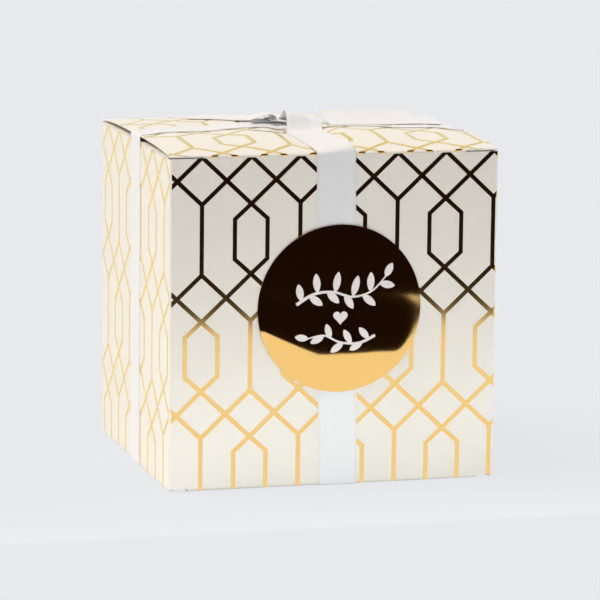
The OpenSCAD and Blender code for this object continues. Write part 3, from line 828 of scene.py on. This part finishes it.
class FAVORBOX_OT_lid_band(bpy.types.Operator):
    """Band from left to right, gathered where it passes through the knot"""

    bl_idname = "favorbox.lid_band"
    bl_label = "Cross Band"

    def execute(self, context):
        half, mid = ribbon_halves()
        lie, turn = mid + 0.05, 0.9
        reach = HALF_W + lie - turn
        climb_steps, steps = 5, 60
        left, right = [], []

        def row(x, z_front, z_back, gather=0.0):
            lean = band_lean(x)
            left.append(Vector((x, BAND_Y + half + lean - gather, z_back)))
            right.append(Vector((x, BAND_Y - half + lean + gather, z_front)))

        def sides(x):
            """Heights of the band's front and rear edges where it lies on the lid."""
            y = BAND_Y + band_lean(x)
            return (TOP + lie + lid_rise(x, y - half),
                    TOP + lie + lid_rise(x, y + half, bed=False))

        def flank(way):
            """Rows from the parting up the wall and round the lid's raw edge."""
            ends = sides(way * LID_HALF)
            rows = []
            for k in range(climb_steps):
                share = k / climb_steps
                rows.append((way * (HALF_W + mid + 0.08 * share),
                             *(PART_Z + (z - turn - PART_Z) * share for z in ends)))
            for k in range(TURN_STEPS):
                angle = math.pi / 2 * k / TURN_STEPS
                rows.append((way * (reach + turn * math.cos(angle)),
                             *(z - turn + turn * math.sin(angle) for z in ends)))
            return rows

        for place in flank(-1):
            row(*place)
        for k in range(steps + 1):
            x = -reach + 2 * reach * k / steps
            near = clamp(1 - abs(x - BAND_X) / 16)
            front, back = sides(x)
            stand = soft(-x, 2, 6) * (1 - soft(-x, 9, 15))
            row(x, front, back + 0.2 * near + stand, gather=2.2 * near * near)
        for place in reversed(flank(1)):
            row(*place)

        def pleat(along, across):
            middle, spread, fold = 0.5, 0.07, 0.2
            gather = math.exp(-((along - middle) / spread) ** 2)
            return fold * gather * math.sin(across * 6 * math.pi)

        ribbon_piece("ribbon_across_lid", "lid", left, right,
                     ["ribbon_lid_left", "ribbon_lid_right"],
                     across=24, pleat=pleat, clear=ONE_LAYER)
        return {"FINISHED"}


class FAVORBOX_OT_loop(bpy.types.Operator):
    """Small curl of ribbon against the knot's left side"""

    bl_idname = "favorbox.loop"
    bl_label = "Small Loop"

    def execute(self, context):
        curl = [(-3.6, 4.5), (-6.4, 4.55), (-9.6, 4.6), (-12.8, 4.75), (-14.6, 5.1), (-13.2, 5.6),
                (-11.2, 6.2), (-9.4, 6.7), (-8.0, 6.75), (-6.9, 6.1), (-7.0, 5.25), (-8.0, 4.95),
                (-8.9, 5.4)]
        front_y, drawn, back_y, narrower, gathered = -1.2, 2.4, 6.6, 0.95, 0.0102
        # the front edge of its inner turn comes forward, as in a rolled bud
        front = smoothed([(x, front_y - drawn * soft(k, 6, 11), TOP + z - 0.5)
                          for k, (x, z) in enumerate(curl)])
        back = smoothed([(x * narrower - 0.3, back_y, TOP + 0.96 * z - 0.4) for x, z in curl])
        ribbon_piece("ribbon_loop", "lid", back, front, ["ribbon_knot_loop"],
                     across=12,
                     pleat=lambda a, s: 0.06 * math.sin(3 * math.pi * s))
        return {"FINISHED"}


class FAVORBOX_OT_tails(bpy.types.Operator):
    """Two free ends of the ribbon that come out of the knot's open sides"""

    bl_idname = "favorbox.tails"
    bl_label = "Tails"

    def execute(self, context):
        def strip(name, front, back, node, sag):
            """Tail between two edges; a point without a height lies on the lid."""

            def edge(points):
                return smoothed([Vector((x, y, TOP + (
                    height[0] if height else lid_rise(x, y, bed=False) + MORE_LAYERS)))
                    for x, y, *height in points], 8)

            ribbon_piece(name, "lid", edge(back), edge(front), [node], across=12,
                         pleat=lambda a, s: sag * math.sin(math.pi * s), clear=MORE_LAYERS)

        # the left tail lies down on the lid and is cut at a slant
        strip("ribbon_tail_left_strip",
              [(-2.5, -3.5, 3.9), (-5.2, -1.8, 4.1), (-9.0, 1.8, 4.2), (-13.0, 5.6, 3.7),
               (-17.4, 10.1), (-21.0, 14.1), (-25.0, 18.5), (-29.1, 23.0)],
              [(-2.3, 0.5, 4.0), (-4.8, 2.6, 4.2), (-6.3, 7.4, 4.3), (-8.0, 12.6, 4.0),
               (-10.3, 18.2, 3.6), (-13.2, 23.2, 3.3), (-19.0, 29.7), (-25.3, 36.7)],
              "ribbon_tail_left", 0.12)
        # the right tail stands off behind its front edge and lies down towards its end
        strip("ribbon_tail_right_strip",
              [(4.2, -2.5, 3.4), (7.6, 0.8, 3.45), (10.4, 3.4, 3.1), (13.4, 4.8), (18, 5.3),
               (28, 5.4), (39, 5.6), (44.4, 5.8), (49.4, 6.0)],
              [(4.0, 0.5, 3.55), (7.2, 4.2, 4.0), (9.6, 9.5, 4.7), (12.2, 14.8, 5.1),
               (18, 16.3, 5.15), (28, 16.6, 5.15), (39, 16.8, 5.0), (44.4, 16.8, 3.1),
               (49.6, 14.6, 1.95)],
              "ribbon_tail_right", -0.3)
        return {"FINISHED"}


def seal_face(x, z):
    """Outward distance of the seal's back from the wall: it lies on the ribbon in its middle and
    comes down softly to the wall on both sides, as stiff film does. Below its middle it has one
    soft swell, and a small one at its right edge."""
    on_ribbon, on_wall, swell_top, slope, bulge_height = 0.36, 0.06, 58, 0.034, 0.1
    swell_low = 49 - 11 * clamp((x + 24) / 19)
    swell = slope * (swell_top - swell_low) * soft(swell_top - z, 0, swell_top - swell_low)
    swell *= (1 - soft(swell_low - z, 0, 10)) * (1 - soft(x, 19, 27))
    bulge = bulge_height * math.exp(-((x - 23) / 6) ** 2 - ((z - 60) / 4.5) ** 2)
    return on_ribbon * (1 - soft(abs(x - BAND_X), 5, 24)) + on_wall + swell + bulge


class FAVORBOX_OT_seal(bpy.types.Operator):
    """Round foil seal over the ribbon, printed with two leafy sprigs and a heart"""

    bl_idname = "favorbox.seal"
    bl_label = "Seal"

    def execute(self, context):
        rings, ring_width, film, ink_lift, ink = 17, 1.4, 0.12, 0.16, 0.03
        bm = bmesh.new()
        bmesh.ops.create_circle(bm, cap_ends=True, segments=128,
                                radius=context.scene.favor_box_seal.diameter / MM / 2)
        disc = bm.faces[:]
        for _ in range(rings):
            bmesh.ops.inset_region(bm, faces=disc, thickness=ring_width, use_boundary=True,
                                   use_even_offset=True)
        bmesh.ops.poke(bm, faces=disc)

        def on_front(vert, out):
            """Point of the seal over a point of its flat drawing, out from its back."""
            x, z = vert.co.x + SEAL_X, vert.co.y + SEAL_Z
            return Vector((x, -HALF_D - seal_face(x, z) - out, z))

        for vert in bm.verts:
            vert.co = on_front(vert, 0.0)
        finish_piece(bm, "seal_disc", "carton", label_foil(), ["foil_seal"],
                     thickness=film, offset=1)

        bm = bmesh.new()

        def leaf(x, z, angle, length, width, level):
            made = bmesh.ops.create_circle(bm, cap_ends=True, segments=20, radius=1.0)["verts"]
            turn = math.radians(angle)
            for vert in made:
                a, b = vert.co.x, vert.co.y
                b *= width * (1 - a * a) ** 0.25 if abs(a) < 1 else 0
                a = (a + 1) * length / 2
                vert.co = Vector((x + a * math.cos(turn) - b * math.sin(turn),
                                  z + a * math.sin(turn) + b * math.cos(turn), level))

        def stem(points, width):
            curve = smoothed([(x, z, 0) for x, z in points], 8)
            last = len(curve) - 1
            strip = bmesh.ops.create_grid(bm, x_segments=1, y_segments=last, size=0.5)["verts"]
            for vert in strip:
                i = round((vert.co.y + 0.5) * last)
                way = curve[min(i + 1, last)] - curve[max(i - 1, 0)]
                side = Vector((way.y, -way.x, 0)).normalized()
                taper = width * (1 - 0.6 * i / last)
                vert.co = curve[i] + side * vert.co.x * taper

        stem([(-13.5, 1.5), (-8, 4.6), (-2, 5.0), (4, 3.4), (10, 5.0), (14.5, 9.5)], 1.0)
        stem([(11.0, -8.5), (6, -10.6), (0, -10.2), (-5, -8.0), (-10, -8.8)], 0.9)
        upper = ((-12, 2.6, 100, 5.2), (-9.5, 4.0, -35, 5.0), (-7, 5.0, 95, 5.8),
                 (-4, 5.3, -45, 5.2), (-1.5, 5.0, 80, 6.2), (1.5, 4.3, -60, 5.2),
                 (4, 3.6, 75, 6.4), (7, 4.0, -40, 5.4), (9.5, 4.9, 88, 5.8),
                 (12.4, 7.2, -10, 4.8), (14.2, 9.2, 62, 4.6))
        lower = ((9, -9.5, 130, 4.6), (7, -10.4, 210, 4.6), (3.5, -10.7, 118, 4.8),
                 (1, -10.4, 215, 4.8), (-3, -9.0, 105, 4.6), (-5, -8.2, 205, 4.6),
                 (-9.8, -8.8, 172, 4.2))
        # the leaves lie over the stems by turns, so that no two of them share a plane
        for leaves, width in ((upper, 1.15), (lower, 1.05)):
            for k, (x, z, angle, length) in enumerate(leaves):
                leaf(x, z, angle, length, width, 0.02 + 0.02 * (k % 2))
        heart_size = 0.14
        heart = bmesh.ops.create_circle(bm, cap_ends=True, segments=40, radius=1.0)["verts"]
        for vert in heart:
            t = math.atan2(vert.co.y, vert.co.x)
            vert.co = Vector((
                0.2 + heart_size * 16 * math.sin(t) ** 3,
                -2.6 + heart_size * (13 * math.cos(t) - 5 * math.cos(2 * t) - 2 * math.cos(3 * t)
                                     - math.cos(4 * t)), 0))
        bmesh.ops.triangulate(bm, faces=bm.faces)
        for vert in bm.verts:
            vert.co = on_front(vert, ink_lift + vert.co.z)
        bm.normal_update()
        wrong = [face for face in bm.faces if face.normal.y > 0]
        bmesh.ops.reverse_faces(bm, faces=wrong)
        finish_piece(bm, "seal_sprigs", "carton", label_ink(),
                     thickness=ink, offset=1)
        return {"FINISHED"}


class FAVORBOX_OT_stage(bpy.types.Operator):
    """Pale floor and background, soft lamps and the camera"""

    bl_idname = "favorbox.stage"
    bl_label = "Stage"

    def execute(self, context):
        stage = context.scene.favor_box_stage
        pale = tuple(stage.background)
        half, side, far, near, meet, above = 3.0, 2.0, 2.5, -1.93, -0.315, 0.0005
        self.ground("floor", (-half, half, -half, half), 0.0,
                    made_material("seamless_paper", seamless_paper, pale))
        # two boards on the floor show only in what the foil mirrors: a white one round the box,
        # and a dark one from 270 mm in front of it on
        self.ground("white_board", (-side, side, meet, far), above,
                    made_material("white_paper_board", white_paper), mirrored_only=True)
        self.ground("dark_board", (-side, side, near, meet), above,
                    made_material("black_felt_board", black_felt), mirrored_only=True)
        self.world(context, stage, pale)
        for name, strength, angle, color, direction in (
                ("key_lamp", stage.key, 40, "#FFEFDE", (-0.47, 0.08, 0.86)),
                ("fill_lamp", stage.fill, 60, "#F4F6FF", (0.95, -0.15, 0.28))):
            self.lamp(name, "SUN", strength, color, direction).data.angle = math.radians(angle)
        # low strip of light in front, like the glow that a pale table throws back
        strip = self.lamp("bounce_lamp", "AREA", stage.bounce, "#F5F8F2", (0, -1, 0))
        strip.data.shape = "RECTANGLE"
        strip.data.size, strip.data.size_y = 0.5, 0.02
        strip.location = (0, -0.10, 0.012)
        strip.visible_camera = False
        self.camera(context)
        context.scene.view_settings.view_transform = "Standard"
        return {"FINISHED"}

    def ground(self, name, area, height, material, mirrored_only=False):
        """Level board between left, right, front and back, all in metres."""
        left, right, front, back = area
        bm = flat_grid(8, 8, (right - left, back - front),
                       ((left + right) / 2, (front + back) / 2, height))
        made = add_mesh(bm, name, material)
        if mirrored_only:
            made.visible_camera = made.visible_diffuse = False
            made.visible_transmission = made.visible_shadow = False

    def world(self, context, stage, pale):
        world = bpy.data.worlds.new("studio")
        context.scene.world = world
        world.use_nodes = True
        tree = world.node_tree
        tree.nodes.clear()
        ray = add_node(tree, "ShaderNodeLightPath")
        around = add_node(tree, "ShaderNodeBackground", {
            "Color": (0.93, 1.0, 1.01, 1), "Strength": stage.ambient})
        behind = add_node(tree, "ShaderNodeBackground", {"Color": rgba(pale), "Strength": 1.0})
        # what the foil mirrors: a white background low down, an unlit room above it and a lit
        # patch of ceiling straight up
        place = add_node(tree, "ShaderNodeTexCoord").outputs["Generated"]
        height = add_node(tree, "ShaderNodeSeparateXYZ", {"Vector": place}).outputs["Z"]
        low = add_node(tree, "ShaderNodeMapRange", {
            "Value": height, "From Min": 0.62, "From Max": 0.82, "To Min": 1.0, "To Max": 0.0})
        ceiling = add_node(tree, "ShaderNodeMapRange", {
            "Value": height, "From Min": 0.965, "From Max": 0.98, "To Max": 0.8})
        bright = add_node(tree, "ShaderNodeMath", {
            0: low.outputs["Result"], 1: ceiling.outputs["Result"]}, operation="ADD")
        room = add_node(tree, "ShaderNodeMix", {
            "Factor": bright.outputs["Value"], "A": rgba(linear("#140C08")),
            "B": (0.84, 0.84, 0.82, 1)}, data_type="RGBA")
        mirrored = add_node(tree, "ShaderNodeBackground", {
            "Color": room.outputs["Result"], "Strength": 1.0})
        glossy = add_node(tree, "ShaderNodeMixShader", {
            0: ray.outputs["Is Glossy Ray"], 1: around.outputs["Background"],
            2: mirrored.outputs["Background"]})
        direct = add_node(tree, "ShaderNodeMath", {
            0: ray.outputs["Is Camera Ray"], 1: ray.outputs["Is Transmission Ray"]},
            operation="MAXIMUM")
        mix = add_node(tree, "ShaderNodeMixShader", {
            0: direct.outputs["Value"], 1: glossy.outputs["Shader"],
            2: behind.outputs["Background"]})
        add_node(tree, "ShaderNodeOutputWorld", {"Surface": mix.outputs["Shader"]})

    def lamp(self, name, kind, strength, color, direction):
        data = bpy.data.lights.new(name, kind)
        data.energy = strength
        data.color = linear(color)
        lamp = add_object(name, data)
        lamp.rotation_euler = Vector(direction).to_track_quat("Z", "Y").to_euler()
        lamp.visible_glossy = False
        return lamp

    def camera(self, context):
        yaw, pitch, roll = (math.radians(a) for a in CAMERA_TURNS)
        turn = (Matrix.Rotation(-yaw, 4, "Z") @ Matrix.Rotation(math.pi / 2 - pitch, 4, "X")
                @ Matrix.Rotation(roll, 4, "Z"))
        data = bpy.data.cameras.new("camera")
        data.lens = LENS
        data.sensor_width = SENSOR
        camera = add_object("camera", data)
        camera.matrix_world = Matrix.Translation(CAMERA_PLACE) @ turn
        context.scene.camera = camera


# Sidebar and registration


class FAVORBOX_PT_panel(bpy.types.Panel):
    """Buttons for the box's pieces, in the order in which they are made"""

    bl_idname = "FAVORBOX_PT_panel"
    bl_label = "Favor Box"
    bl_space_type = "VIEW_3D"
    bl_region_type = "UI"
    bl_category = "Favor Box"

    def draw(self, context):
        column = self.layout.column(align=True)
        for operator in OPERATORS:
            column.operator(operator.bl_idname)
        for name, settings in SETTINGS.items():
            box = self.layout.box()
            for prop in settings.__annotations__:
                box.prop(getattr(context.scene, name), prop)


SETTINGS = {
    "favor_box_card": FavorBoxCardSettings,
    "favor_box_foil": FavorBoxFoilSettings,
    "favor_box_ribbon": FavorBoxRibbonSettings,
    "favor_box_seal": FavorBoxSealSettings,
    "favor_box_stage": FavorBoxStageSettings,
}
OPERATORS = (
    FAVORBOX_OT_card,
    FAVORBOX_OT_lid,
    FAVORBOX_OT_foil_walls,
    FAVORBOX_OT_foil_lid,
    FAVORBOX_OT_wall_bands,
    FAVORBOX_OT_knot,
    FAVORBOX_OT_lid_band,
    FAVORBOX_OT_loop,
    FAVORBOX_OT_tails,
    FAVORBOX_OT_seal,
    FAVORBOX_OT_stage,
)


def register():
    for item in (*SETTINGS.values(), *OPERATORS, FAVORBOX_PT_panel):
        bpy.utils.register_class(item)
    for name, settings in SETTINGS.items():
        setattr(bpy.types.Scene, name, bpy.props.PointerProperty(type=settings))


def unregister():
    for name in SETTINGS:
        delattr(bpy.types.Scene, name)
    for item in reversed((*SETTINGS.values(), *OPERATORS, FAVORBOX_PT_panel)):
        bpy.utils.unregister_class(item)


def main():
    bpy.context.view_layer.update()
    register()
    bpy.ops.favorbox.card()
    bpy.ops.favorbox.lid()
    bpy.ops.favorbox.foil_walls()
    bpy.ops.favorbox.foil_lid()
    bpy.ops.favorbox.wall_bands()
    bpy.ops.favorbox.knot()
    bpy.ops.favorbox.lid_band()
    bpy.ops.favorbox.loop()
    bpy.ops.favorbox.tails()
    bpy.ops.favorbox.seal()
    bpy.ops.favorbox.stage()


if __name__ == "__main__":
    main()
